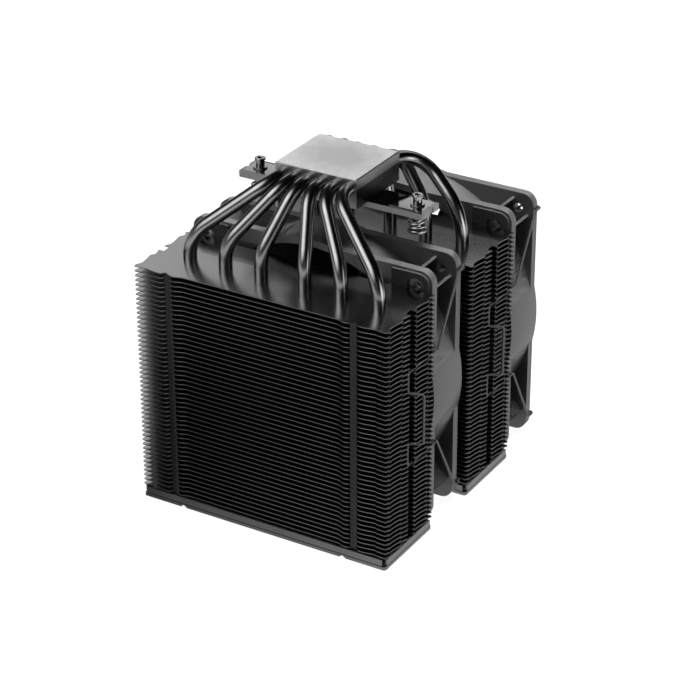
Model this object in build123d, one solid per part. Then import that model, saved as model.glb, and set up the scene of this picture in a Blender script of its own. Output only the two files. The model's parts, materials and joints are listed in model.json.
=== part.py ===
"""CPU tower cooler: two fin towers, six heat pipes, two 120 mm fans, standing on its tower caps.

All sizes are in millimetres.  The origin is the centre of the processor contact face and +Z points out
of that face, so the towers hang below it down to the caps.  X runs along the towers' width and Y runs
from the front tower to the rear tower.
"""

import math
import os

from build123d import *

os.makedirs("parts", exist_ok=True)

# ---- whole cooler -------------------------------------------------------------------------------
OVERALL_HEIGHT = 154.0
FLOOR_Z = -OVERALL_HEIGHT
FRONT_TOWER_Y = -45.3
REAR_TOWER_Y = 26.8
SLIP_GAP = 0.02  # radial gap between a pipe and each hole it passes

# ---- base ---------------------------------------------------------------------------------------
BASE_WIDTH = 40.3
BASE_DEPTH = 36.3
BASE_HEIGHT = 13.8
BASE_EDGE_BREAK = 0.4
PIPE_RADIUS = 3.0
PIPE_WALL = 0.5  # copper wall with its wick
PIPE_PITCH = 6.6
PIPE_AXIS_Z = -4.85

# ---- heat pipe runs -----------------------------------------------------------------------------
FOOT_X = (10.8, 28.8, 47.0)  # distance of each pipe's feet from the middle of a tower
FRONT_CORNER_Y = -29.6  # where the front runs turn down
FRONT_CORNER_STEP = 1.9  # how much nearer the base the outermost pipe turns
FRONT_DROP_Z = -30.3  # where the sloping runs turn into the towers
FRONT_BENDS = (12.4, 18.0)
REAR_KNEE_Y = 19.6  # where the rear runs start to spread
REAR_KNEE_BEND = 7.0
# Rear runs, from the leftmost pipe to the rightmost.
REAR_CORNER_Y = (33.72, 30.93, 27.0, 27.0, 30.93, 33.72)
REAR_CORNER_Z = (-7.17, -8.1, -6.35, -6.35, -8.1, -5.67)
REAR_CORNER_SHARE = (0.183, 0.227, 0.21, 0.21, 0.227, 0.183)  # of the way outwards, before turning down
REAR_DROP_Z = (-27.25, -27.09, -28.5, -28.5, -27.09, -27.25)
REAR_BENDS = ((18.25, 24.84), (8.5, 21.9), (6.5, 16.0), (6.5, 16.0), (8.5, 21.9), (14.25, 24.84))

# ---- fins ---------------------------------------------------------------------------------------
FIN_COUNT = 49
FIN_PITCH = 2.24
FIN_THICKNESS = 0.4
FIN_TOP_Z = -40.2
FIN_HALF_WIDTH = 62.5
FIN_HALF_DEPTH = 20.6
FIN_MIDDLE_HALF = 37.5
FIN_MIDDLE_INSET = 1.2  # the middle of each long edge is set back from the bumps at its ends
FIN_FIRST_BUMP = ((41.6, 0.0), (45.2, 0.7))  # X and inset of the points that the edge passes
FIN_NOTCH = ((45.9, 1.5), (47.5, 1.5))
FIN_SECOND_BUMP = ((48.3, 0.4), (50.0, 0.0), (56.9, 0.9))
FIN_END_BUMP = ((57.7, 0.5), (61.7, 0.3))
FIN_TAB_X = (44.2, 47.4)  # span along X of the tabs folded down in the notches
FIN_TAB_INSET = 1.5
FIN_CORNER = 0.8
FIN_WAVE_DEPTH = 1.1
FIN_WAVES = ((-18.0, -9.0), (-7.4, -1.7), (4.2, 13.2), (14.8, 19.4))
CLIP_GROOVE = (-1.4, 3.1)  # span along Y of the groove that takes a fan clip
CLIP_GROOVE_DEPTH = 2.6
COLLAR_WALL = 0.35
COLLAR_GAP = 0.04

# ---- tower caps ---------------------------------------------------------------------------------
CAP_HALF_WIDTH = 62.3
CAP_HALF_DEPTH = 20.4
CAP_THICKNESS = 1.5
CAP_SEAM = 0.4
CAP_SEAM_INSET = 1.2
CAP_CORNER = 1.4
CAP_GROOVE_X = 41.0
CAP_GROOVE_WIDTH = 3.2
CAP_GROOVE_DEPTH = 1.2
TRAY_SHEET = 0.9
TRAY_HEIGHT = 2.9
TRAY_CORNER_RELIEF = 1.7

# ---- mounting bar and screws --------------------------------------------------------------------
BAR_HALF_LENGTH = 46.3
BAR_HALF_WIDTH = 7.5
BAR_THICKNESS = 3.0
BAR_CORNER = 1.2
BAR_ROLL_WIDTH = 1.6  # softly rounded rim of the punched upper face
BAR_ROLL_DROP = 0.3
BAR_END_NOTCH_RADIUS = 1.6
BAR_SCREW_X = 10.0
BAR_SCREW_RADIUS = 1.5
BAR_SCREW_GRIP = 6.5
BAR_SCREW_HEAD_RADIUS = 2.75
BAR_SCREW_HEAD_HEIGHT = 1.65
MOUNT_SPACING = 79.0
SCREW_BODY_RADIUS = 1.95
SCREW_HOLE_RADIUS = 2.6
SCREW_PROUD = 4.8
SCREW_LIP_RADIUS = 2.45
SCREW_LIP_HEIGHT = 0.9
SCREW_THREAD_RADIUS = 1.2
SCREW_THREAD_DEPTH = 9.0
SCREW_MOUTH_CHAMFER = 0.35
SCREW_FLANGE_RADIUS = 4.35
SCREW_FLANGE_THICKNESS = 1.6
SCREW_RECESS_WIDTH = 1.0
SCREW_RECESS_SPAN = 4.4
SCREW_RECESS_DEPTH = 1.1
SPRING_LENGTH = 7.7
SPRING_COIL_RADIUS = 3.85
SPRING_WIRE_RADIUS = 0.5
SPRING_END_GAP = 0.05
SPRING_START = 9.0  # direction of the lower end, in degrees
SPRING_RISE = ((0.35, 0.0), (1.75, 0.39), (2.6, 1.0), (3.1, 1.0))  # turns, share of the rise reached
SPRING_STEPS = 24  # points for each turn
RING_GROOVE_RADIUS = 1.6
RING_GROOVE_HEIGHT = 0.8
RING_OUTER_RADIUS = 3.15
RING_THICKNESS = 0.72
RING_MOUTH = 2.2

# ---- fans ---------------------------------------------------------------------------------------
FAN_SIZE = 120.0
FAN_DEPTH = 25.0
FAN_CENTRE_Z = -91.8
FAN_CORNER = 5.8
FAN_FLANGE = 4.0
FAN_BORE_RADIUS = 58.5
FAN_DUCT_RADIUS = 61.6
FAN_HOLE_PITCH = 105.0
FAN_HOLE_RADIUS = 2.15
FAN_GAP = 1.4  # between a tower's back edge and its fan
FAN_RIB = 1.2
FAN_RIB_OFFSET = 5.1  # distance of each corner rib from the corner's diagonal
FAN_RIB_REACH = 76.0
PAD_GAP = 0.02
PAD_BACK_THICKNESS = 0.8
PAD_SPAN = 18.0
PAD_INSET = 1.0
PAD_HOLE_RADIUS = 4.2

HUB_RADIUS = 20.8
HUB_WALL = 1.5
HUB_FRONT = 1.5
HUB_BACK = 21.4
HUB_BOSS_RADIUS = 3.6
BLADE_COUNT = 9
BLADE_TIP_RADIUS = 57.5
BLADE_MIDDLE = 11.5
BLADE_THICKNESS = 1.8
BLADE_PHASE = 20.0  # direction of the first blade, in degrees
SPIDER_RADIUS = 21.5
SPIDER_THICKNESS = 2.7
STRUT_COUNT = 4
STRUT_WIDTH = 6.0
STRUT_THICKNESS = 3.4
STRUT_ANGLE = 20.0
SHAFT_RADIUS = 1.5
SHAFT_CLEARANCE = 0.03
BEARING_RADIUS = 3.0
TUBE_RADIUS = 4.6
TUBE_TOP = 8.0
YOKE_RADIUS = 19.25
YOKE_WALL = 0.8
MAGNET_WALL = 2.0
STATOR_RADIUS = 15.8
STATOR_POLES = 4
STATOR_SPAN = (9.0, 16.0)
COIL_THICKNESS = 1.6
BOARD_RADIUS = 16.5
BOARD_THICKNESS = 1.2
LABEL_RADIUS = 16.0
LABEL_THICKNESS = 0.2

# ---- fan clips ----------------------------------------------------------------------------------
WIRE_RADIUS = 0.6
WIRE_BEND = 1.5
CLIP_STUB = 3.0
CLIP_STANDOFF = 1.6  # how far the hook's cross wire stands behind the fan
CLIP_SIDE_X = 60.8
CLIP_HOOK_REACH = 4.8
CLIP_GROOVE_X = 60.7
CLIP_GROOVE_Y = 0.5
CLIP_LOOP_X = 66.8
CLIP_LOOP_LEAN = 3.0
CLIP_KNEE_Y = 4.1  # behind the fan's front face
CLIP_TOP_GAP = 12  # the clip's upper leg runs under this fin, counted from the base
CLIP_BOTTOM_GAP = 32
CLIP_LOOP_TOP_Z = -78.2
CLIP_LOOP_BOTTOM_Z = -102.2

BASE_BOTTOM_Z = -BASE_HEIGHT
BAR_BOTTOM_Z = BASE_BOTTOM_Z - BAR_THICKNESS
TRAY_BOTTOM_Z = FLOOR_Z + CAP_THICKNESS + CAP_SEAM
PIPE_END_Z = TRAY_BOTTOM_Z + 0.1
FRONT_FAN_Y = FRONT_TOWER_Y + FIN_HALF_DEPTH + FAN_GAP
REAR_FAN_Y = REAR_TOWER_Y + FIN_HALF_DEPTH + FAN_GAP


def save(name, shape):
    """Write one named sub-part."""
    shape.label = name
    export_step(shape, os.path.join("parts", name + ".step"))


def group(shapes):
    """Separate solids held in one node."""
    solids = [solid for shape in shapes for solid in shape.solids()]
    return Compound(children=solids)


def upright_cylinder(radius, z_low, z_high, x=0.0, y=0.0):
    """Cylinder about a vertical axis, between two heights."""
    height = z_high - z_low
    return Pos(x, y, z_low) * Cylinder(radius, height, align=(Align.CENTER, Align.CENTER, Align.MIN))


def slab(x_low, x_high, y_low, y_high, z_low, z_high):
    """Box between its lowest and highest corners."""
    corner = (Align.MIN, Align.MIN, Align.MIN)
    return Pos(x_low, y_low, z_low) * Box(x_high - x_low, y_high - y_low, z_high - z_low, align=corner)


def rod(path, radius):
    """Round rod along a path."""
    start = Plane(origin=path @ 0, z_dir=path % 0)
    return sweep(start * Circle(radius), path=path)


# ---- base and heat pipes ------------------------------------------------------------------------
def pipe_base_x(index):
    """Place of a pipe across the base; 0 to 5 from left to right."""
    return (index - 2.5) * PIPE_PITCH


def pipe_foot_x(index):
    """Place of a pipe's feet across the towers."""
    return -FOOT_X[2 - index] if index < 3 else FOOT_X[index - 3]


def pipe_grooves():
    """Round cutters for the six grooves in the base."""
    length = BASE_DEPTH + 2
    bore = Rot(90, 0, 0) * Cylinder(PIPE_RADIUS + SLIP_GAP, length)
    return [Pos(pipe_base_x(index), 0, PIPE_AXIS_Z) * bore for index in range(6)]


def base_plate():
    """Contact plate with the processor's flat face on top."""
    half_width = BASE_WIDTH / 2
    half_depth = BASE_DEPTH / 2
    plate = slab(-half_width, half_width, -half_depth, half_depth, PIPE_AXIS_Z, 0)
    rim = plate.faces().sort_by(Axis.Z)[-1].edges()
    plate = chamfer(rim, BASE_EDGE_BREAK)
    return plate - pipe_grooves()


def base_block():
    """Clamp block that holds the pipes against the contact plate."""
    half_width = BASE_WIDTH / 2
    half_depth = BASE_DEPTH / 2
    block = slab(-half_width, half_width, -half_depth, half_depth, BASE_BOTTOM_Z, PIPE_AXIS_Z)
    rim = block.faces().sort_by(Axis.Z)[0].edges()
    block = chamfer(rim, BASE_EDGE_BREAK)
    depth = BAR_SCREW_GRIP - BAR_THICKNESS + 1.0
    for x in (-BAR_SCREW_X, BAR_SCREW_X):
        block -= upright_cylinder(BAR_SCREW_RADIUS + SLIP_GAP, BASE_BOTTOM_Z, BASE_BOTTOM_Z + depth, x)
    return block - pipe_grooves()


def heatpipe(index):
    """One sealed pipe, bent from its front tower foot, through the base, to its rear tower foot."""
    base_x = pipe_base_x(index)
    foot_x = pipe_foot_x(index)
    spread = abs(foot_x) / FOOT_X[-1]
    rear_x = base_x + REAR_CORNER_SHARE[index] * (foot_x - base_x)
    bends = [FRONT_BENDS[1], FRONT_BENDS[0], REAR_KNEE_BEND, *REAR_BENDS[index]]

    def run(radius, end_z):
        points = [
            (foot_x, FRONT_TOWER_Y, end_z),
            (foot_x, FRONT_TOWER_Y, FRONT_DROP_Z),
            (base_x, FRONT_CORNER_Y + FRONT_CORNER_STEP * spread, PIPE_AXIS_Z),
            (base_x, REAR_KNEE_Y, PIPE_AXIS_Z),
            (rear_x, REAR_CORNER_Y[index], REAR_CORNER_Z[index]),
            (foot_x, REAR_TOWER_Y, REAR_DROP_Z[index]),
            (foot_x, REAR_TOWER_Y, end_z),
        ]
        return rod(FilletPolyline(*points, radius=bends), radius)

    return run(PIPE_RADIUS, PIPE_END_Z) - run(PIPE_RADIUS - PIPE_WALL, PIPE_END_Z + PIPE_WALL)


# ---- fins ---------------------------------------------------------------------------------------
def long_edge():
    """Right half of a fin's front edge, from the middle to the corner: two bumps and a notch between."""
    middle = (FIN_MIDDLE_HALF, FIN_MIDDLE_INSET - FIN_HALF_DEPTH)
    first, notch, second, end = (
        [(x, inset - FIN_HALF_DEPTH) for x, inset in group]
        for group in (FIN_FIRST_BUMP, FIN_NOTCH, FIN_SECOND_BUMP, FIN_END_BUMP)
    )
    corner = (FIN_HALF_WIDTH, FIN_CORNER - FIN_HALF_DEPTH)
    return [
        Line((0, middle[1]), middle),
        Spline(middle, *first, tangents=((1, 0), (1, 0.3))),
        Polyline(first[-1], *notch, second[0]),
        Spline(*second, tangents=((1, -1), (1, 0.1))),
        Polyline(second[-1], *end, corner),
    ]


def side_edge():
    """Right side of a fin, from front to back: shallow waves and the clip groove."""
    edge = FIN_HALF_WIDTH
    low = edge - FIN_WAVE_DEPTH
    groove = edge - CLIP_GROOVE_DEPTH
    step = 1.7
    pieces = []
    y = FIN_CORNER - FIN_HALF_DEPTH
    for count, (start, end) in enumerate(FIN_WAVES):
        pieces.append(Polyline((edge, y), (edge, start), (low, start + step)))
        pieces.append(Spline((low, start + step), (edge, end), tangents=((0, 1), (0.35, 1))))
        y = end
        if count == 1:
            front, back = CLIP_GROOVE
            pieces.append(Polyline((edge, y), (edge, front), (groove, front), (groove, back), (edge, back)))
            y = back
    pieces.append(Line((edge, y), (edge, FIN_HALF_DEPTH - FIN_CORNER)))
    return pieces


def fin_face():
    """Flat outline of a fin about the middle of its tower."""
    front = long_edge()
    back = [mirror(piece, about=Plane.XZ) for piece in front]
    right = front + side_edge() + back
    left = [mirror(piece, about=Plane.YZ) for piece in right]
    edges = [edge for piece in right + left for edge in piece.edges()]
    return Face(Wire.combine(edges)[0])


def pipe_holes(z_low, z_high, radius):
    """The six upright cylinders at a tower's pipe places."""
    return [upright_cylinder(radius, z_low, z_high, pipe_foot_x(index)) for index in range(6)]


def fin_tabs(height):
    """The four tabs that are folded down at a fin's notches."""
    outer = FIN_HALF_DEPTH - FIN_TAB_INSET
    tab = slab(*FIN_TAB_X, outer - FIN_THICKNESS, outer, -FIN_THICKNESS - height, -FIN_THICKNESS / 2)
    back = [tab, mirror(tab, about=Plane.YZ)]
    return back + [mirror(piece, about=Plane.XZ) for piece in back]


def fin(collar_height):
    """One pressed fin, its upper face at height 0, with drawn collars and folded tabs."""
    hole = PIPE_RADIUS + SLIP_GAP
    sheet = Pos(0, 0, -FIN_THICKNESS) * extrude(fin_face(), FIN_THICKNESS, dir=(0, 0, 1))
    collars = pipe_holes(-FIN_THICKNESS - collar_height, -FIN_THICKNESS / 2, hole + COLLAR_WALL)
    return sheet + collars + fin_tabs(collar_height) - pipe_holes(-FIN_PITCH - 1, 1, hole)


def fin_stack(tower_y):
    """A tower's fins, from the base side down to the cap."""
    one = fin(FIN_PITCH - FIN_THICKNESS - COLLAR_GAP)
    last = fin(0.6)
    fins = [Pos(0, tower_y, FIN_TOP_Z - FIN_PITCH * count) * one for count in range(FIN_COUNT - 1)]
    fins.append(Pos(0, tower_y, FIN_TOP_Z - FIN_PITCH * (FIN_COUNT - 1)) * last)
    return group(fins)


# ---- tower caps ---------------------------------------------------------------------------------
def end_tray(tower_y):
    """Folded tray under the last fin; its four walls leave small square gaps at the corners."""
    w = CAP_HALF_WIDTH
    d = CAP_HALF_DEPTH
    r = TRAY_CORNER_RELIEF
    low = TRAY_BOTTOM_Z
    sheet = low + TRAY_SHEET
    top = low + TRAY_HEIGHT
    tray = slab(-w, w, -d + r, d - r, low, sheet) + slab(-w + r, w - r, -d, d, low, sheet)
    for side in (-1, 1):
        x_low, x_high = sorted((side * w, side * (w - TRAY_SHEET)))
        y_low, y_high = sorted((side * d, side * (d - TRAY_SHEET)))
        tray += slab(x_low, x_high, -d + r, d - r, low, top)
        tray += slab(-w + r, w - r, y_low, y_high, low, top)
    tray -= pipe_holes(low - 1, top + 1, PIPE_RADIUS + SLIP_GAP)
    return Pos(0, tower_y, 0) * tray


def cap(tower_y):
    """Cover plate of a tower, with a shadow seam above it and two V grooves across its outer face."""
    low = FLOOR_Z
    top = low + CAP_THICKNESS
    corner = (Align.CENTER, Align.CENTER)
    outline = RectangleRounded(2 * CAP_HALF_WIDTH, 2 * CAP_HALF_DEPTH, CAP_CORNER, align=corner)
    plate = Pos(0, 0, low) * extrude(outline, CAP_THICKNESS)
    inner_w = CAP_HALF_WIDTH - CAP_SEAM_INSET
    inner_d = CAP_HALF_DEPTH - CAP_SEAM_INSET
    plate += slab(-inner_w, inner_w, -inner_d, inner_d, top, top + CAP_SEAM)
    half = CAP_GROOVE_WIDTH / 2
    for x in (-CAP_GROOVE_X, CAP_GROOVE_X):
        vee = Polyline((x - half, low), (x + half, low), (x, low + CAP_GROOVE_DEPTH), close=True)
        face = make_face(Plane.XZ * vee)
        plate -= extrude(face, CAP_HALF_DEPTH + 1, both=True)
    return Pos(0, tower_y, 0) * plate


# ---- mounting bar and screws --------------------------------------------------------------------
def mounting_bar():
    """Flat steel cross bar under the base, with a hole for a spring screw near each end."""
    length = 2 * BAR_HALF_LENGTH
    width = 2 * BAR_HALF_WIDTH
    outline = RectangleRounded(length, width, BAR_CORNER)
    face = RectangleRounded(length - 2 * BAR_ROLL_WIDTH, width - 2 * BAR_ROLL_WIDTH, BAR_CORNER / 2)
    roll_z = BASE_BOTTOM_Z - BAR_ROLL_DROP
    bar = Pos(0, 0, BAR_BOTTOM_Z) * extrude(outline, BAR_THICKNESS - BAR_ROLL_DROP)
    bar += loft([Pos(0, 0, roll_z) * outline, Pos(0, 0, BASE_BOTTOM_Z) * face])
    for side in (-1, 1):
        for x, radius in (
            (side * MOUNT_SPACING / 2, SCREW_HOLE_RADIUS),
            (side * BAR_SCREW_X, BAR_SCREW_RADIUS + 0.15),
            (side * BAR_HALF_LENGTH, BAR_END_NOTCH_RADIUS),
        ):
            bar -= upright_cylinder(radius, BAR_BOTTOM_Z - 1, BASE_BOTTOM_Z + 1, x)
    return bar


def bar_screw(x):
    """Round-headed socket screw from below the bar into the base block."""
    low = BAR_BOTTOM_Z - BAR_SCREW_HEAD_HEIGHT
    head = upright_cylinder(BAR_SCREW_HEAD_RADIUS, low, BAR_BOTTOM_Z, x)
    head = fillet(head.edges().sort_by(Axis.Z)[0], 1.2)
    shank = upright_cylinder(BAR_SCREW_RADIUS, BAR_BOTTOM_Z, BAR_BOTTOM_Z + BAR_SCREW_GRIP, x)
    socket = Pos(x, 0, low) * extrude(RegularPolygon(1.1, 6), 1.0)
    return head + shank - socket


def spring_screw(x):
    """Captive screw: threaded body with a flared lip above the bar, and a driven spring flange."""
    top = BASE_BOTTOM_Z + SCREW_PROUD
    flange_top = BAR_BOTTOM_Z - SPRING_LENGTH
    flange_low = flange_top - SCREW_FLANGE_THICKNESS
    groove_top = BASE_BOTTOM_Z + RING_GROOVE_HEIGHT
    screw = upright_cylinder(SCREW_BODY_RADIUS, flange_top, top, x)
    screw -= Pos(x, 0, 0) * tube(SCREW_BODY_RADIUS + 1, RING_GROOVE_RADIUS, BASE_BOTTOM_Z, groove_top)
    lip = upright_cylinder(SCREW_LIP_RADIUS, top - SCREW_LIP_HEIGHT, top, x)
    screw += fillet(lip.edges().sort_by(Axis.Z)[-1], SCREW_MOUTH_CHAMFER)
    flange = upright_cylinder(SCREW_FLANGE_RADIUS, flange_low, flange_top, x)
    screw += fillet(flange.edges(), SCREW_FLANGE_THICKNESS / 3)
    screw -= upright_cylinder(SCREW_THREAD_RADIUS, top - SCREW_THREAD_DEPTH, top, x)
    wide = SCREW_THREAD_RADIUS + SCREW_MOUTH_CHAMFER
    screw -= Pos(x, 0, top) * Cone(SCREW_THREAD_RADIUS, wide, 2 * SCREW_MOUTH_CHAMFER)
    for turn in (0, 90):
        arm = Box(SCREW_RECESS_SPAN, SCREW_RECESS_WIDTH, 2 * SCREW_RECESS_DEPTH)
        screw -= Pos(x, 0, flange_low) * Rot(0, 0, turn) * arm
    return screw


def spring_height(turns):
    """Share of the spring's rise reached after some turns."""
    start_turns = start_share = 0.0
    for end_turns, end_share in SPRING_RISE:
        if turns <= end_turns:
            share = (turns - start_turns) / (end_turns - start_turns)
            return start_share + share * (end_share - start_share)
        start_turns = end_turns
        start_share = end_share
    return 1.0


def screw_spring(x):
    """Compression spring between the screw's flange and the bar, closed at its ends."""
    inset = SPRING_WIRE_RADIUS + SPRING_END_GAP
    low = BAR_BOTTOM_Z - SPRING_LENGTH + inset
    rise = SPRING_LENGTH - 2 * inset
    points = []
    for step in range(round(SPRING_RISE[-1][0] * SPRING_STEPS) + 1):
        turns = step / SPRING_STEPS
        angle = math.radians(SPRING_START + 360 * turns)
        across = SPRING_COIL_RADIUS * math.cos(angle)
        along = SPRING_COIL_RADIUS * math.sin(angle)
        points.append((x + across, along, low + rise * spring_height(turns)))
    return rod(Spline(*points), SPRING_WIRE_RADIUS)


def retaining_clip(x):
    """Open ring in the sleeve's groove that rests on the bar and keeps the screw in."""
    low = BASE_BOTTOM_Z + 0.02
    ring = upright_cylinder(RING_OUTER_RADIUS, low, low + RING_THICKNESS, x)
    ring -= upright_cylinder(RING_GROOVE_RADIUS + SLIP_GAP, low - 1, low + 2, x)
    half = RING_MOUTH / 2
    return ring - slab(x - half, x + half, 0, RING_OUTER_RADIUS + 1, low - 1, low + 2)


# ---- fans: built about +Z from the intake face (0) to the outlet face (FAN_DEPTH) ----------------
def place_fan_part(part, fan_y):
    """Turn a fan part so that air flows along +Y, and move it to its fan."""
    return Plane(origin=(0, fan_y, FAN_CENTRE_Z), x_dir=(1, 0, 0), z_dir=(0, 1, 0)) * part


def corner_places():
    """The four corners as signs of x and y."""
    return [(x, y) for x in (-1, 1) for y in (-1, 1)]


def fan_frame():
    """Open-cornered frame: two flanges, duct, corner ribs, struts and the motor's base."""
    square = RectangleRounded(FAN_SIZE, FAN_SIZE, FAN_CORNER)
    flange = extrude(square, FAN_FLANGE)
    frame = upright_cylinder(FAN_DUCT_RADIUS, 0, FAN_DEPTH)
    frame += flange
    frame += Pos(0, 0, FAN_DEPTH - FAN_FLANGE) * flange
    for x, y in corner_places():
        for offset in (-FAN_RIB_OFFSET, FAN_RIB_OFFSET):
            rib = slab(50, FAN_RIB_REACH, offset - FAN_RIB / 2, offset + FAN_RIB / 2, 1, FAN_DEPTH - 1)
            frame += Rot(0, 0, math.degrees(math.atan2(y, x))) * rib
    frame -= upright_cylinder(FAN_BORE_RADIUS, -1, FAN_DEPTH + 1)
    half_pitch = FAN_HOLE_PITCH / 2
    for x, y in corner_places():
        frame -= upright_cylinder(FAN_HOLE_RADIUS, -1, FAN_DEPTH + 1, x * half_pitch, y * half_pitch)
    return frame + fan_spider()


def fan_spider():
    """Motor base, bearing tube and the struts that carry them at the outlet side."""
    plate_top = FAN_DEPTH - SPIDER_THICKNESS
    strut_low = FAN_DEPTH - STRUT_THICKNESS
    reach = FAN_BORE_RADIUS + 1
    spider = upright_cylinder(SPIDER_RADIUS, plate_top, FAN_DEPTH)
    for count in range(STRUT_COUNT):
        half = STRUT_WIDTH / 2
        strut = slab(15, reach, -half, half, strut_low, FAN_DEPTH)
        strut -= upright_cylinder(HUB_RADIUS + 0.6, strut_low - 1, plate_top)
        spider += Rot(0, 0, STRUT_ANGLE + count * 360 / STRUT_COUNT) * strut
    spider += upright_cylinder(TUBE_RADIUS, TUBE_TOP, plate_top)
    spider -= upright_cylinder(BEARING_RADIUS + SLIP_GAP, TUBE_TOP - 1, plate_top)
    return spider - upright_cylinder(LABEL_RADIUS + 0.2, FAN_DEPTH - LABEL_THICKNESS - 0.1, FAN_DEPTH + 1)


def corner_pad(x, y, z_low, z_high):
    """Rubber pad on one corner of a flange."""
    half = FAN_SIZE / 2 - PAD_INSET
    outline = RectangleRounded(2 * half, 2 * half, FAN_CORNER - PAD_INSET)
    window = Pos(x * half, y * half) * Rectangle(2 * PAD_SPAN, 2 * PAD_SPAN)
    face = (outline & window) - Circle(FAN_BORE_RADIUS + 1.5)
    half_pitch = FAN_HOLE_PITCH / 2
    face -= Pos(x * half_pitch, y * half_pitch) * Circle(PAD_HOLE_RADIUS)
    return Pos(0, 0, z_low) * extrude(face, z_high - z_low)


def fan_pads():
    """The pads on both faces of a fan."""
    front = [corner_pad(x, y, -FAN_GAP + PAD_GAP, 0) for x, y in corner_places()]
    back = [corner_pad(x, y, FAN_DEPTH, FAN_DEPTH + PAD_BACK_THICKNESS) for x, y in corner_places()]
    return group(front + back)


def blade_section(radius, chord, pitch_angle, lead):
    """Thin cambered section of a blade on the plane at one radius."""
    camber = 0.07 * chord
    half = chord / 2
    top = ThreePointArc((-half, 0), (0, camber + BLADE_THICKNESS / 2), (half, 0))
    bottom = ThreePointArc((half, 0), (0, camber - BLADE_THICKNESS / 2), (-half, 0))
    slope = math.radians(pitch_angle)
    across = (0, math.cos(slope), math.sin(slope))
    plane = Plane(origin=(radius, 0, BLADE_MIDDLE), x_dir=across, z_dir=(1, 0, 0))
    return Rot(0, 0, lead) * (plane * make_face([top, bottom]))


def rotor():
    """Hub cup with its boss and blades, moulded in one piece."""
    root_radius = HUB_RADIUS - HUB_WALL / 2
    sections = [
        blade_section(14, 19, 50, 0),
        blade_section(38, 27, 38, 4),
        blade_section(62, 34, 28, 13),
    ]
    blade = loft(sections)
    ring = upright_cylinder(BLADE_TIP_RADIUS, 0, FAN_DEPTH) - upright_cylinder(root_radius, -1, FAN_DEPTH + 1)
    blade = blade & ring
    hub = upright_cylinder(HUB_RADIUS, HUB_FRONT, HUB_BACK)
    hub = fillet(hub.edges().sort_by(Axis.Z)[0], 1.2)
    hub -= upright_cylinder(HUB_RADIUS - HUB_WALL, HUB_FRONT + HUB_WALL, HUB_BACK + 1)
    hub += upright_cylinder(HUB_BOSS_RADIUS, HUB_FRONT + HUB_WALL, TUBE_TOP - 1)
    hub -= upright_cylinder(SHAFT_RADIUS + 0.01, HUB_FRONT + HUB_WALL / 2, TUBE_TOP)
    for count in range(BLADE_COUNT):
        hub += Rot(0, 0, BLADE_PHASE + count * 360 / BLADE_COUNT) * blade
    return hub


def tube(outer, inner, z_low, z_high):
    """Round sleeve about the fan's axis."""
    return upright_cylinder(outer, z_low, z_high) - upright_cylinder(inner, z_low - 1, z_high + 1)


def rotor_yoke():
    """Steel ring inside the hub."""
    return tube(YOKE_RADIUS, YOKE_RADIUS - YOKE_WALL, 4.0, 19.0)


def magnet_ring():
    """Ring magnet inside the yoke."""
    outer = YOKE_RADIUS - YOKE_WALL - 0.02
    return tube(outer, outer - MAGNET_WALL, 6.5, 18.0)


def shaft():
    """Motor shaft, fixed in the hub's boss and running in the bearing."""
    top = HUB_FRONT + HUB_WALL / 2 + 0.05
    body = upright_cylinder(SHAFT_RADIUS, top, 20.5)
    return chamfer(body.edges().sort_by(Axis.Z)[-1], 0.3)


def bearing():
    """Sleeve bearing in the frame's tube."""
    return tube(BEARING_RADIUS, SHAFT_RADIUS + SHAFT_CLEARANCE, TUBE_TOP + 0.5, 21.0)


def stator_core():
    """Laminated core with four T-shaped poles."""
    low, high = STATOR_SPAN
    core = upright_cylinder(7.5, low, high)
    shoes = tube(STATOR_RADIUS, STATOR_RADIUS - 1.6, low, high)
    for count in range(STATOR_POLES):
        turn = Rot(0, 0, count * 360 / STATOR_POLES)
        core += turn * slab(5, STATOR_RADIUS - 1, -1.6, 1.6, low, high)
        wedge = turn * slab(5, STATOR_RADIUS + 1, -8.5, 8.5, low, high)
        core += shoes & wedge
    return core - upright_cylinder(TUBE_RADIUS + SLIP_GAP, low - 1, high + 1)


def stator_coils():
    """One winding round the neck of each pole."""
    low, high = STATOR_SPAN
    neck = 1.65
    outer = neck + COIL_THICKNESS
    coil = slab(8.2, 13.6, -outer, outer, low - COIL_THICKNESS, high + COIL_THICKNESS)
    coil = fillet(coil.edges().filter_by(Axis.X), 1.2)
    coil -= slab(8, 14, -neck, neck, low - 0.05, high + 0.05)
    return group([Rot(0, 0, count * 360 / STATOR_POLES) * coil for count in range(STATOR_POLES)])


def circuit_board():
    """Round drive board on the motor's base."""
    top = FAN_DEPTH - SPIDER_THICKNESS
    return tube(BOARD_RADIUS, TUBE_RADIUS + 0.1, top - BOARD_THICKNESS, top)


def hub_label():
    """Blank disc label in the base's recess."""
    return upright_cylinder(LABEL_RADIUS, FAN_DEPTH - LABEL_THICKNESS - 0.1, FAN_DEPTH - 0.1)


FAN_PARTS = {
    "frame": fan_frame,
    "pads": fan_pads,
    "rotor": rotor,
    "rotor_yoke": rotor_yoke,
    "magnet_ring": magnet_ring,
    "shaft": shaft,
    "bearing": bearing,
    "stator_core": stator_core,
    "stator_coils": stator_coils,
    "circuit_board": circuit_board,
    "hub_label": hub_label,
}


# ---- fan clips ----------------------------------------------------------------------------------
def fin_gap_z(count):
    """Height of the middle of the gap under a fin."""
    return FIN_TOP_Z - FIN_PITCH * count - (FIN_THICKNESS + FIN_PITCH) / 2


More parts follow.
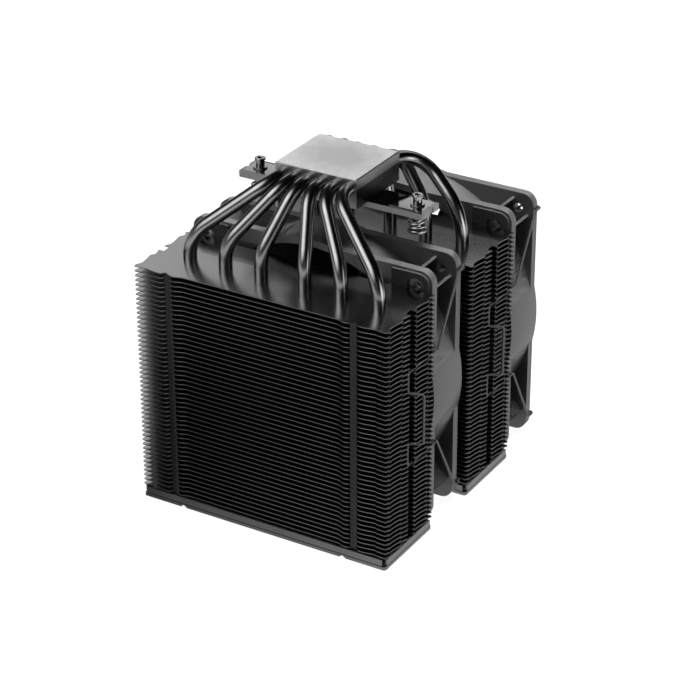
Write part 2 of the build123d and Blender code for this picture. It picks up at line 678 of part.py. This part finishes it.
def fan_clip(side, tower_y, fan_y):
    """Bent wire from the fan's outlet corners, along its side, to the groove and its finger loop."""
    half_pitch = FAN_HOLE_PITCH / 2
    back = fan_y + FAN_DEPTH
    hook = back + CLIP_STANDOFF
    knee = fan_y + CLIP_KNEE_Y
    groove = tower_y + CLIP_GROOVE_Y
    loop = groove + CLIP_LOOP_LEAN
    top = FAN_CENTRE_Z + half_pitch
    low = FAN_CENTRE_Z - half_pitch
    leg_top = fin_gap_z(CLIP_TOP_GAP)
    leg_low = fin_gap_z(CLIP_BOTTOM_GAP)
    points = [
        (half_pitch, back - CLIP_STUB, top),
        (half_pitch, hook, top),
        (CLIP_SIDE_X, hook, top),
        (CLIP_SIDE_X, hook - CLIP_HOOK_REACH, top),
        (CLIP_SIDE_X, knee, leg_top),
        (CLIP_GROOVE_X, groove, leg_top),
        (CLIP_GROOVE_X, groove, CLIP_LOOP_TOP_Z),
        (CLIP_LOOP_X, loop, CLIP_LOOP_TOP_Z),
        (CLIP_LOOP_X, loop, CLIP_LOOP_BOTTOM_Z),
        (CLIP_GROOVE_X, groove, CLIP_LOOP_BOTTOM_Z),
        (CLIP_GROOVE_X, groove, leg_low),
        (CLIP_SIDE_X, knee, leg_low),
        (CLIP_SIDE_X, hook - CLIP_HOOK_REACH, low),
        (CLIP_SIDE_X, hook, low),
        (half_pitch, hook, low),
        (half_pitch, back - CLIP_STUB, low),
    ]
    bent = [(side * x, y, z) for x, y, z in points]
    return rod(FilletPolyline(*bent, radius=WIRE_BEND), WIRE_RADIUS)


def build_all():
    """Write every sub-part of the cooler."""
    save("base_plate", base_plate())
    save("base_block", base_block())
    for index in range(6):
        save(f"heatpipe_{index + 1}", heatpipe(index))
    save("mounting_bar", mounting_bar())
    save("bar_screws", group([bar_screw(-BAR_SCREW_X), bar_screw(BAR_SCREW_X)]))
    for side_name, side in (("left", -1), ("right", 1)):
        x = side * MOUNT_SPACING / 2
        save(f"{side_name}_spring_screw", spring_screw(x))
        save(f"{side_name}_screw_spring", screw_spring(x))
        save(f"{side_name}_retaining_clip", retaining_clip(x))
    fan_shapes = {name: make() for name, make in FAN_PARTS.items()}
    for place, tower_y, fan_y in (
        ("front", FRONT_TOWER_Y, FRONT_FAN_Y),
        ("rear", REAR_TOWER_Y, REAR_FAN_Y),
    ):
        save(f"{place}_fins", fin_stack(tower_y))
        save(f"{place}_end_tray", end_tray(tower_y))
        save(f"{place}_cap", cap(tower_y))
        for name, shape in fan_shapes.items():
            save(f"{place}_fan_{name}", place_fan_part(shape, fan_y))
        save(f"{place}_fan_clip_left", fan_clip(-1, tower_y, fan_y))
        save(f"{place}_fan_clip_right", fan_clip(1, tower_y, fan_y))


build_all()
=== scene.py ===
import json
import math

import bmesh
import bpy
from mathutils import Matrix, Vector


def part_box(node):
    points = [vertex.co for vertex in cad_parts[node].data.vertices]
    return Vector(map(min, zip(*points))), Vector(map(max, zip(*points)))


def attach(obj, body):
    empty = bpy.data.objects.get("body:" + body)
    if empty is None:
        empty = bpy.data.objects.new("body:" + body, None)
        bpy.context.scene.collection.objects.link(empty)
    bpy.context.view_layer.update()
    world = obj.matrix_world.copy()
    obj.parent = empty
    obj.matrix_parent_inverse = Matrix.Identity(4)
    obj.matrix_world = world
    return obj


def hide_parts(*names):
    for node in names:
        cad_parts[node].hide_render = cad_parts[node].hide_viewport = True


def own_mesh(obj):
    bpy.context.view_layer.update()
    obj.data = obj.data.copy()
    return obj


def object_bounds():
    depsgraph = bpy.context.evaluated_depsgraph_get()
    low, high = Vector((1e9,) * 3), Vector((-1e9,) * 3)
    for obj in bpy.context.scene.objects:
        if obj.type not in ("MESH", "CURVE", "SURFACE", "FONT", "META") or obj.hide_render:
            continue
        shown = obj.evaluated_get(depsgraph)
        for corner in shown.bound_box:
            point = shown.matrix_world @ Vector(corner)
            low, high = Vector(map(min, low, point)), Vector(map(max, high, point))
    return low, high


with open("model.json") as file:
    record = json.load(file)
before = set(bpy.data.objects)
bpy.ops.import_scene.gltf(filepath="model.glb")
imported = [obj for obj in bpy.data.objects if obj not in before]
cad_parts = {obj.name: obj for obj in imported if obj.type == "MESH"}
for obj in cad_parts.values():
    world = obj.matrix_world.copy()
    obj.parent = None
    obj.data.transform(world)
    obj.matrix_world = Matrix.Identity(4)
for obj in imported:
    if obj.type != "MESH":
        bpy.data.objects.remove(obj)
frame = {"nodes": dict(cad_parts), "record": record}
cad_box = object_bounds()

MM = 0.001
LOW = Vector(cad_box[0])
HIGH = Vector(cad_box[1])
CENTRE = (LOW + HIGH) / 2
FLOOR_Z = LOW.z

# The view: azimuth 0 looks along +Y, elevation above the horizon.
VIEW_AZIMUTH = math.radians(30.67)
VIEW_ELEVATION = math.radians(27.53)
VIEW_ROLL = math.radians(-0.09)
VIEW_DISTANCE = 1.0801
VIEW_LENS = 125.04
VIEW_AIM = Vector((6.9, -1.4, -91.3)) * MM

# The light, in metres from the centre of the contact face.
SURROUND_FILL = 0.06
SURROUND_SIDE = (-0.75, 0.05, 0.32, 0.03)  # direction along X from and to, level from and to
SURROUND_RISE = (0.10, 0.32, 1.0, 0.10)  # direction along Z from and to, share from and to
PANEL_Y = 0.300
LEFT_PANEL_STOPS = (
    (-0.46, 1.0), (-0.30, 0.72), (-0.24, 0.48), (-0.213, 0.32), (-0.176, 0.10), (-0.160, 0.0),
)
# Name, lowest and highest place, and the (X place, level) stops of each upright panel at the back.
PANELS = (
    ("left_low", (-0.02, 0.127), ((-0.46, 0.7), (-0.24, 0.6), (-0.20, 0.0))),
    ("low_strip", (0.127, 0.146), ((-0.46, 1.3), (0.10, 1.3))),
    ("left_panel", (0.158, 0.36), LEFT_PANEL_STOPS),
    ("right_panel", (0.158, 0.36), ((-0.111, 0.0), (-0.108, 0.9), (0.10, 0.9))),
)
FLOOR_REACH = 4.0
FLOOR_WHITE = 0.93
FLOOR_GLOW = 1.02
FLOOR_BOUNCE = 0.15
FLOOR_X_STOPS = ((-0.08, 0.10), (0.06, 0.90))
FLOOR_Y_STOPS = ((-0.28, 0.90), (-0.20, 0.0), (-0.05, 0.0), (0.02, 0.50))
# Name, place, size, light given to matt surfaces, brightness seen in mirror faces.
SOFT_BOXES = (
    ("front", (-0.30, -0.70, 0.66), (1.45, 1.45), 2.0, 3.0),
    ("overhead", (0.10, 0.10, 1.10), (0.9, 0.9), 95.0, 0.0),
    ("right_strip", (0.36, -0.05, -0.03), (0.26, 0.34), 0.0, 3.2),
    ("near_right", (0.45, -1.10, 0.30), (0.5, 0.8), 1.2, 0.2),
)

# Pieces, in metres.
SPRING_RISE = ((0.0, 0.0), (0.35, 0.0), (1.75, 0.39), (2.6, 1.0), (3.1, 1.0))  # turns, share
SPRING_START = math.radians(9)
SPRING_WIRE = 0.5 * MM
SPRING_STEPS_PER_TURN = 96
EDGE_ROUNDING = 0.5 * MM
WELD_DISTANCE = 1e-6
# Span along X of the folded tabs, where fin edges get painted shade, and the fade at its ends.
FIN_TAB_X = (44.2 * MM, 47.4 * MM)
FIN_TAB_FADE = 0.4 * MM


# ---- materials ----------------------------------------------------------------------------------
class Finish:
    """A node material that is put together one node at a time."""

    def __init__(self, name):
        self.material = bpy.data.materials.new(name)
        self.material.use_nodes = True
        self.tree = self.material.node_tree
        self.shader = self.tree.nodes["Principled BSDF"]
        self.place = self.node("ShaderNodeTexCoord").outputs["Object"]

    def node(self, kind, inputs=None, **settings):
        made = self.tree.nodes.new(kind)
        for key, value in settings.items():
            setattr(made, key, value)
        for key, value in (inputs or {}).items():
            self.set(made.inputs[key], value)
        return made

    def set(self, socket, value):
        if isinstance(value, bpy.types.NodeSocket):
            self.tree.links.new(value, socket)
        elif isinstance(value, tuple) and len(value) == 3 and socket.type == "RGBA":
            socket.default_value = (*value, 1.0)
        else:
            socket.default_value = value

    def shade(self, **values):
        for key, value in values.items():
            self.set(self.shader.inputs[key.replace("_", " ")], value)
        return self

    def stretched(self, scale):
        """Place coordinates, scaled by one number per axis."""
        return self.node("ShaderNodeMapping", {"Vector": self.place, "Scale": scale}).outputs[0]

    def noise(self, scale, detail=2.0, rough=0.5, where=None):
        inputs = {"Vector": where or self.place, "Scale": scale, "Detail": detail, "Roughness": rough}
        return self.node("ShaderNodeTexNoise", inputs).outputs["Fac"]

    def spread(self, value, low, high, start=0.3, end=0.7):
        """A value from start to end, mapped to low to high and held there outside."""
        inputs = {"Value": value, "From Min": start, "From Max": end, "To Min": low, "To Max": high}
        return self.node("ShaderNodeMapRange", inputs).outputs[0]

    def tint(self, value, dark, light, start=0.3, end=0.7):
        """Colour between dark and light, as value goes from start to end."""
        share = self.spread(value, 0.0, 1.0, start, end)
        mixed = self.node("ShaderNodeMix", data_type="RGBA")
        self.set(mixed.inputs[0], share)
        self.set(mixed.inputs[6], dark)
        self.set(mixed.inputs[7], light)
        return mixed.outputs[2]

    def bump(self, *layers):
        """Normal from several (height, distance in metres) layers."""
        normal = None
        for height, distance in layers:
            inputs = {"Height": height, "Strength": 1.0, "Distance": distance}
            made = self.node("ShaderNodeBump", inputs)
            if normal is not None:
                self.set(made.inputs["Normal"], normal)
            normal = made.outputs[0]
        return normal

    def facing(self, axis):
        """How much the surface faces along one row axis, 0 to 1, either way."""
        geometry = self.node("ShaderNodeNewGeometry")
        parts = self.node("ShaderNodeSeparateXYZ", {"Vector": geometry.outputs["True Normal"]})
        return self.node("ShaderNodeMath", {0: parts.outputs[axis]}, operation="ABSOLUTE").outputs[0]


def grey(value):
    return (value, value, value)


def milled_nickel():
    """Pale nickel plate with fine lapping lines, a glossier middle painted darker and a rim painted
    paler as painted reflection, and cut sides darkened with painted shade.
    """
    f = Finish("milled_nickel")
    lines = f.noise(1.0, 3.0, 0.6, f.stretched((500, 9000, 500)))
    haze = f.noise(150, 4.0, 0.6)
    middle = f.node(
        "ShaderNodeTexGradient", {"Vector": f.stretched((38, 44, 10))}, gradient_type="SPHERICAL"
    )
    # The middle is glossier; its darker colour and the paler rim are painted reflection, with random
    # haze on top.
    polish_and_painted_sheen = f.node("ShaderNodeMath", {0: middle.outputs["Fac"], 1: haze}, operation="ADD").outputs[0]
    # Faces not facing up take a darker colour: painted shade on the cut sides.
    flat = f.facing("Z")
    face_colour = f.tint(polish_and_painted_sheen, grey(0.95), grey(0.72), 0.5, 1.2)
    face_rough = f.spread(polish_and_painted_sheen, 0.46, 0.36, 0.5, 1.2)
    return f.shade(
        Metallic=f.spread(flat, 1.0, 0.94, 0.7, 0.95),
        Base_Color=f.tint(flat, grey(0.34), face_colour, 0.7, 0.95),
        Roughness=f.spread(flat, 0.30, face_rough, 0.7, 0.95),
        Normal=f.bump((lines, 1.2e-6)),
    ).material


def satin_base():
    """Base block: the same plate with duller ends, and sides darkened with painted shade."""
    f = Finish("satin_base")
    lines = f.noise(1.0, 3.0, 0.6, f.stretched((9000, 9000, 700)))
    haze = f.noise(60, 3.0)
    front = f.tint(haze, grey(0.31), grey(0.37))
    return f.shade(
        Metallic=1.0,
        # X-facing sides take a much darker colour: painted shade.
        Base_Color=f.tint(f.facing("X"), front, grey(0.09)),
        Roughness=f.spread(haze, 0.26, 0.34),
        Normal=f.bump((lines, 1.5e-6)),
    ).material


def black_nickel():
    """Heat pipes: glossy black nickel with slight waviness from drawing and bending."""
    f = Finish("black_nickel")
    wave = f.noise(160, 2.0)
    grain = f.noise(2500, 2.0)
    return f.shade(
        Metallic=1.0,
        Base_Color=f.tint(wave, (0.26, 0.26, 0.265), (0.31, 0.31, 0.315)),
        Roughness=f.spread(grain, 0.19, 0.25),
        Normal=f.bump((wave, 6e-6), (grain, 3e-7)),
    ).material


def fin_coating():
    """Semi-gloss black fin sheet with duller edges, and edges over the folded tabs darkened with
    painted shade.
    """
    f = Finish("fin_coating")
    cloud = f.noise(35, 3.0)
    grain = f.noise(4000, 1.0)
    flat = f.facing("Z")
    across = f.node("ShaderNodeMath", {0: along(f, "X")}, operation="ABSOLUTE").outputs[0]
    start, end = FIN_TAB_X
    # Over the folded tabs the fin edges take a darker colour: painted shade.
    rise = ((start - FIN_TAB_FADE, 0.0), (start, 1.0))
    fall = ((end, 1.0), (end + FIN_TAB_FADE, 0.0))
    tab_painted_shade = ramp(f, across, *rise, *fall)
    edge = f.tint(tab_painted_shade, grey(0.17), grey(0.05), 0.0, 1.0)
    return f.shade(
        Metallic=1.0,
        Base_Color=f.tint(flat, edge, grey(0.40), 0.2, 0.8),
        Roughness=f.spread(flat, 0.42, f.spread(cloud, 0.17, 0.21), 0.2, 0.8),
        Normal=f.bump((cloud, 6e-6), (grain, 5e-8)),
    ).material


def cap_coating():
    """Folded tray and cover plate: black anodised sheet with a fine grain."""
    f = Finish("cap_coating")
    lines = f.noise(1.0, 2.0, 0.6, f.stretched((300, 6000, 6000)))
    grain = f.noise(5000, 2.0)
    return f.shade(
        Metallic=0.9,
        Base_Color=f.tint(f.noise(60), grey(0.16), grey(0.20)),
        Roughness=f.spread(grain, 0.28, 0.38),
        Normal=f.bump((lines, 1e-6), (grain, 1e-6)),
    ).material


def bar_plating():
    """Cross bar: black-nickel steel, glossy on its faces and dull on its cut edges, which are painted
    paler as painted light.
    """
    f = Finish("bar_plating")
    lines = f.noise(1.0, 3.0, 0.6, f.stretched((300, 7000, 7000)))
    cut_face_painted_light = f.facing("Y")
    plated = f.tint(f.noise(80), grey(0.20), grey(0.25))
    return f.shade(
        # Y-facing cut edges: duller and less metallic, with a paler colour that is painted light.
        Metallic=f.spread(cut_face_painted_light, 1.0, 0.4, 0.7, 0.95),
        Base_Color=f.tint(cut_face_painted_light, plated, grey(0.32), 0.7, 0.95),
        Roughness=f.spread(cut_face_painted_light, f.spread(lines, 0.05, 0.08), 0.35, 0.7, 0.95),
        Normal=f.bump((lines, 1.5e-6)),
    ).material


def bright_plate(name, shade, rough):
    """Plated screws, springs and rings, with turning marks and small pits."""
    f = Finish(name)
    rings = f.noise(1.0, 2.0, 0.6, f.stretched((900, 900, 9000)))
    grain = f.noise(1800, 2.0)
    return f.shade(
        Metallic=1.0,
        Base_Color=f.tint(grain, grey(shade * 0.9), grey(shade)),
        Roughness=f.spread(grain, rough * 0.8, rough * 1.25),
        Normal=f.bump((rings, 1.5e-6)),
    ).material


def moulded_plastic(name, shade, rough):
    """Moulded fan plastic with a fine spark-eroded grain and soft tone changes."""
    f = Finish(name)
    cloud = f.noise(25, 2.0)
    grain = f.noise(2200, 3.0, 0.6)
    return f.shade(
        Base_Color=f.tint(cloud, grey(shade * 0.9), grey(shade * 1.1)),
        Roughness=f.spread(grain, rough * 0.85, rough * 1.15),
        IOR=1.65,
        Specular_IOR_Level=0.8,
        Normal=f.bump((grain, 1.2e-5)),
    ).material


def soft_rubber():
    """Corner pads: matt rubber with a pitted skin."""
    f = Finish("soft_rubber")
    pits = f.noise(1500, 3.0, 0.7)
    return f.shade(
        Base_Color=f.tint(pits, grey(0.012), grey(0.022)),
        Roughness=f.spread(pits, 0.62, 0.85),
        Normal=f.bump((pits, 2.5e-5)),
    ).material


def coated_wire():
    """Fan clip wire: satin black coat with faint drawing lines."""
    f = Finish("coated_wire")
    streak = f.noise(1.0, 2.0, 0.6, f.stretched((4000, 4000, 400)))
    return f.shade(
        Metallic=0.85,
        Base_Color=f.tint(streak, grey(0.08), grey(0.12)),
        Roughness=f.spread(streak, 0.28, 0.40),
        Normal=f.bump((streak, 2e-6)),
    ).material


def plain_metal(name, colour, rough):
    """Hidden motor metal with a fine grain."""
    f = Finish(name)
    grain = f.noise(2600, 2.0)
    dark = tuple(part * 0.85 for part in colour)
    return f.shade(
        Metallic=1.0,
        Base_Color=f.tint(grain, dark, colour),
        Roughness=f.spread(grain, rough * 0.85, rough * 1.15),
        Normal=f.bump((grain, 2e-6)),
    ).material


def winding():
    """Enamelled copper turns, as fine ribs."""
    f = Finish("winding")
    wave = f.node("ShaderNodeTexWave", {"Vector": f.place, "Scale": 900.0, "Distortion": 0.4})
    turns = wave.outputs["Fac"]
    return f.shade(
        Metallic=0.9,
        Base_Color=f.tint(turns, (0.30, 0.10, 0.03), (0.62, 0.26, 0.10)),
        Roughness=0.3,
        Normal=f.bump((turns, 5e-5)),
    ).material


def solder_mask():
    """Green circuit board with faint tracks under the mask."""
    f = Finish("solder_mask")
    tracks = f.noise(420, 1.0)
    return f.shade(
        Base_Color=f.tint(tracks, (0.006, 0.05, 0.018), (0.012, 0.09, 0.03), 0.48, 0.52),
        Roughness=0.35,
        Normal=f.bump((tracks, 1e-5)),
    ).material


def label_film():
    """Blank satin label with a fine paper grain."""
    f = Finish("label_film")
    fibre = f.noise(1800, 4.0, 0.7)
    return f.shade(
        Base_Color=f.tint(fibre, grey(0.05), grey(0.065)),
        Roughness=f.spread(fibre, 0.35, 0.5),
        Normal=f.bump((fibre, 4e-6)),
    ).material


def make_finishes():
    """One material for each material slot of the record."""
    return {
        "nickel_plate": milled_nickel(),
        "base_metal": satin_base(),
        "black_nickel_pipe": black_nickel(),
        "fin_black": fin_coating(),
        "cap_black": cap_coating(),
        "bar_steel": bar_plating(),
        "plated_screw": bright_plate("plated_screw", 0.42, 0.09),
        "spring_steel": bright_plate("spring_steel", 0.62, 0.18),
        "fan_plastic": moulded_plastic("fan_plastic", 0.038, 0.38),
        "pad_rubber": soft_rubber(),
        "rotor_plastic": moulded_plastic("rotor_plastic", 0.016, 0.34),
        "motor_steel": plain_metal("motor_steel", (0.45, 0.45, 0.46), 0.35),
        "magnet": plain_metal("magnet", (0.10, 0.10, 0.11), 0.5),
        "bronze": plain_metal("bronze", (0.60, 0.38, 0.17), 0.35),
        "copper_winding": winding(),
        "board": solder_mask(),
        "label": label_film(),
        "black_wire": coated_wire(),
    }


def round_edges(piece):
    """Small rounding on every sharp edge of a piece."""
    welded = piece.modifiers.new("welded", "WELD")
    welded.merge_threshold = WELD_DISTANCE
    rounding = piece.modifiers.new("rounding", "BEVEL")
    rounding.width = EDGE_ROUNDING
    rounding.segments = 3
    rounding.limit_method = "ANGLE"
    rounding.angle_limit = math.radians(45)


def dress_cad_nodes(finishes):
    """Give every CAD node its material, and the moulded fan frames rounded edges."""
    for part in frame["record"]["subparts"]:
        node = part["node"]
        piece = frame["nodes"][node]
        finish = "bar_steel" if node.endswith("retaining_clip") else part["material_slot"]
        piece.data.materials.clear()
        piece.data.materials.append(finishes[finish])
        if node.endswith("fan_frame"):
            round_edges(piece)


# ---- screw springs ------------------------------------------------------------------------------
def wire_mesh(name, points, radius, sides=20):
    """Round wire along a list of points, with closed ends, in metres."""
    made = bmesh.new()
    rings = []
    previous = None
    for index, point in enumerate(points):
        before = points[max(index - 1, 0)]
        after = points[min(index + 1, len(points) - 1)]
        forward = (after - before).normalized()
        if previous is None:
            side = forward.orthogonal().normalized()
        else:
            side = (previous - forward * previous.dot(forward)).normalized()
        previous = side
        up = forward.cross(side)
        ring = []
        for step in range(sides):
            angle = 2 * math.pi * step / sides
            offset = side * math.cos(angle) + up * math.sin(angle)
            ring.append(made.verts.new(point + offset * radius))
        rings.append(ring)
    for first, second in zip(rings, rings[1:]):
        for step in range(sides):
            after = (step + 1) % sides
            made.faces.new((first[step], first[after], second[after], second[step]))
    made.faces.new(list(reversed(rings[0])))
    made.faces.new(rings[-1])
    bmesh.ops.recalc_face_normals(made, faces=made.faces)
    for face in made.faces:
        face.smooth = len(face.verts) == 4
    mesh = bpy.data.meshes.new(name)
    made.to_mesh(mesh)
    made.free()
    piece = bpy.data.objects.new(name, mesh)
    bpy.context.scene.collection.objects.link(piece)
    return piece


def rise_share(turn):
    """Share of the coil's rise that is reached after some turns."""
    for (start, low), (end, high) in zip(SPRING_RISE, SPRING_RISE[1:]):
        if turn <= end:
            return low + (high - low) * (turn - start) / (end - start)
    return 1.0


def coil_points(low, high):
    """Centreline of the coil inside its node's box: flat ends and an opening pitch between."""
    middle = (low + high) / 2
    radius = (high.x - low.x) / 2 - SPRING_WIRE
    turns = SPRING_RISE[-1][0]
    steps = int(SPRING_STEPS_PER_TURN * turns)
    points = []
    for step in range(steps + 1):
        turn = turns * step / steps
        angle = SPRING_START + 2 * math.pi * turn
        x = middle.x + radius * math.cos(angle)
        y = middle.y + radius * math.sin(angle)
        z = low.z + SPRING_WIRE + (high.z - low.z - 2 * SPRING_WIRE) * rise_share(turn)
        points.append(Vector((x, y, z)))
    return points


def build_springs(finishes):
    """Screw springs, built as coils inside their nodes' boxes and fixed to the cooler."""
    for side in ("left", "right"):
        node = side + "_screw_spring"
        low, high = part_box(node)
        piece = wire_mesh(side + "_coil", coil_points(low, high), SPRING_WIRE)
        piece.data.materials.append(finishes["spring_steel"])
        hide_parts(node)
        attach(piece, "cooler")
        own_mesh(piece)


# ---- studio -------------------------------------------------------------------------------------
def glow(name, strength):
    """An emission material; strength is a function that adds its nodes and gives the level."""
    f = Finish(name)
    f.tree.nodes.remove(f.shader)
    lamp = f.node("ShaderNodeEmission", {"Color": (1.0, 1.0, 1.0, 1.0)})
    f.tree.links.new(lamp.outputs[0], f.tree.nodes["Material Output"].inputs["Surface"])
    f.set(lamp.inputs["Strength"], strength(f))
    return f.material


def flat_piece(name, corners, material):
    """One flat stage piece through four corners."""
    mesh = bpy.data.meshes.new(name)
    mesh.from_pydata([tuple(corner) for corner in corners], [], [(0, 1, 2, 3)])
    piece = bpy.data.objects.new(name, mesh)
    bpy.context.scene.collection.objects.link(piece)
    piece.data.materials.append(material)
    return piece


def along(f, axis):
    """One row coordinate of the shaded point, in metres."""
    geometry = f.node("ShaderNodeNewGeometry")
    return f.node("ShaderNodeSeparateXYZ", {"Vector": geometry.outputs["Position"]}).outputs[axis]


def ramp(f, value, *stops):
    """A level that runs in straight steps between (position, level) stops."""
    total = stops[0][1]
    for (start, low), (end, high) in zip(stops, stops[1:]):
        step = f.spread(value, 0.0, high - low, start, end)
        total = f.node("ShaderNodeMath", {0: total, 1: step}, operation="ADD").outputs[0]
    return total


def times(f, first, second):
    return f.node("ShaderNodeMath", {0: first, 1: second}, operation="MULTIPLY").outputs[0]


def soft_box(name, place, size, matt_level, mirror_level):
    """Emitting card whose light fades to nothing at its rim."""

    def level(f):
        gradient = f.node("ShaderNodeTexGradient", {"Vector": f.place}, gradient_type="SPHERICAL")
        mirror = f.node("ShaderNodeLightPath").outputs["Is Glossy Ray"]
        strength = f.spread(mirror, matt_level, mirror_level, 0.0, 1.0)
        return times(f, f.spread(gradient.outputs["Fac"], 0.0, 1.0, 0.0, 0.8), strength)

    corners = [(-1, -1, 0), (1, -1, 0), (1, 1, 0), (-1, 1, 0)]
    card = flat_piece(name, corners, glow(name, level))
    card.scale = (size[0] / 2, size[1] / 2, 1)
    card.location = Vector(place)
    card.rotation_euler = (CENTRE - card.location).to_track_quat("-Z", "Y").to_euler()
    card.visible_camera = False
    card.visible_glossy = mirror_level > 0.0
    card.visible_shadow = False


def back_panel(name, heights, stops):
    """Upright panel behind the cooler, seen in its mirror faces."""
    low, high = heights
    left, right = stops[0][0], stops[-1][0]
    places = ((left, low), (right, low), (right, high), (left, high))
    corners = [(x, PANEL_Y, z) for x, z in places]
    card = flat_piece(name, corners, glow(name, lambda f: ramp(f, along(f, "X"), *stops)))
    card.visible_camera = False
    card.visible_diffuse = False
    card.visible_shadow = False


def mixed(f, share, first, second):
    """Mix of two shader nodes."""
    inputs = {0: share, 1: first.outputs[0], 2: second.outputs[0]}
    return f.node("ShaderNodeMixShader", inputs)


def build_floor():
    """Plain pale floor under the caps; mirror faces see a darker part of it on the near left."""
    f = Finish("pale_floor")
    grain = f.noise(120, 3.0)
    f.shade(Base_Color=f.tint(grain, grey(0.86), grey(0.88)), Roughness=0.7)
    path = f.node("ShaderNodeLightPath")
    near = ramp(f, along(f, "Y"), *FLOOR_Y_STOPS)
    across = ramp(f, along(f, "X"), *FLOOR_X_STOPS)
    level = f.node("ShaderNodeMath", {0: across, 1: near}, operation="MAXIMUM").outputs[0]
    mirrored = f.node("ShaderNodeEmission", {"Strength": level})
    bounce = f.node("ShaderNodeEmission", {"Strength": FLOOR_BOUNCE})
    white = f.node("ShaderNodeEmission", {"Strength": FLOOR_GLOW})
    seen = mixed(f, FLOOR_WHITE, f.shader, white)
    other = mixed(f, path.outputs["Is Glossy Ray"], bounce, mirrored)
    last = mixed(f, path.outputs["Is Camera Ray"], other, seen)
    f.tree.links.new(last.outputs[0], f.tree.nodes["Material Output"].inputs["Surface"])
    places = ((-1, -1), (1, -1), (1, 1), (-1, 1))
    corners = [(x * FLOOR_REACH, y * FLOOR_REACH, FLOOR_Z) for x, y in places]
    flat_piece("floor", corners, f.material)


def build_surround():
    """White to the camera, dim for lighting, brighter towards the left for mirror faces."""
    world = bpy.data.worlds.new("studio")
    bpy.context.scene.world = world
    world.use_nodes = True
    tree = world.node_tree
    tree.nodes.clear()

    def node(kind, **settings):
        made = tree.nodes.new(kind)
        for key, value in settings.items():
            setattr(made, key, value)
        return made

    def background(level):
        made = node("ShaderNodeBackground")
        made.inputs["Color"].default_value = (1, 1, 1, 1)
        if isinstance(level, bpy.types.NodeSocket):
            tree.links.new(level, made.inputs["Strength"])
        else:
            made.inputs["Strength"].default_value = level
        return made.outputs[0]

    def mix(share, first, second):
        made = node("ShaderNodeMixShader")
        tree.links.new(share, made.inputs[0])
        tree.links.new(first, made.inputs[1])
        tree.links.new(second, made.inputs[2])
        return made.outputs[0]

    direction = node("ShaderNodeSeparateXYZ")
    tree.links.new(node("ShaderNodeTexCoord").outputs["Generated"], direction.inputs[0])

    def fade(axis, limits):
        made = node("ShaderNodeMapRange")
        tree.links.new(direction.outputs[axis], made.inputs["Value"])
        for key, value in zip(("From Min", "From Max", "To Min", "To Max"), limits):
            made.inputs[key].default_value = value
        return made.outputs[0]

    level = node("ShaderNodeMath", operation="MULTIPLY")
    tree.links.new(fade("X", SURROUND_SIDE), level.inputs[0])
    tree.links.new(fade("Z", SURROUND_RISE), level.inputs[1])
    path = node("ShaderNodeLightPath")
    mirrored = background(level.outputs[0])
    lit = mix(path.outputs["Is Glossy Ray"], background(SURROUND_FILL), mirrored)
    seen = mix(path.outputs["Is Camera Ray"], lit, background(1.0))
    tree.links.new(seen, node("ShaderNodeOutputWorld").inputs["Surface"])


def build_studio():
    """Surround, floor, back panels and soft boxes."""
    build_surround()
    build_floor()
    for panel in PANELS:
        back_panel(*panel)
    for box in SOFT_BOXES:
        soft_box(*box)


def build_camera():
    """Camera at the viewing angle."""
    outward = Vector((math.sin(VIEW_AZIMUTH), -math.cos(VIEW_AZIMUTH), 0)) * math.cos(VIEW_ELEVATION)
    outward.z = math.sin(VIEW_ELEVATION)
    data = bpy.data.cameras.new("camera")
    data.lens = VIEW_LENS
    data.sensor_width = 36
    data.clip_start = 0.01
    camera = bpy.data.objects.new("camera", data)
    bpy.context.scene.collection.objects.link(camera)
    camera.location = VIEW_AIM + outward * VIEW_DISTANCE
    turn = (-outward).to_track_quat("-Z", "Y").to_matrix().to_4x4()
    turn = turn @ Matrix.Rotation(VIEW_ROLL, 4, "Z")
    camera.rotation_euler = turn.to_euler()
    bpy.context.scene.camera = camera


def build_scene():
    bpy.context.scene.view_settings.view_transform = "Standard"
    finishes = make_finishes()
    dress_cad_nodes(finishes)
    build_springs(finishes)
    build_studio()
    build_camera()


build_scene()
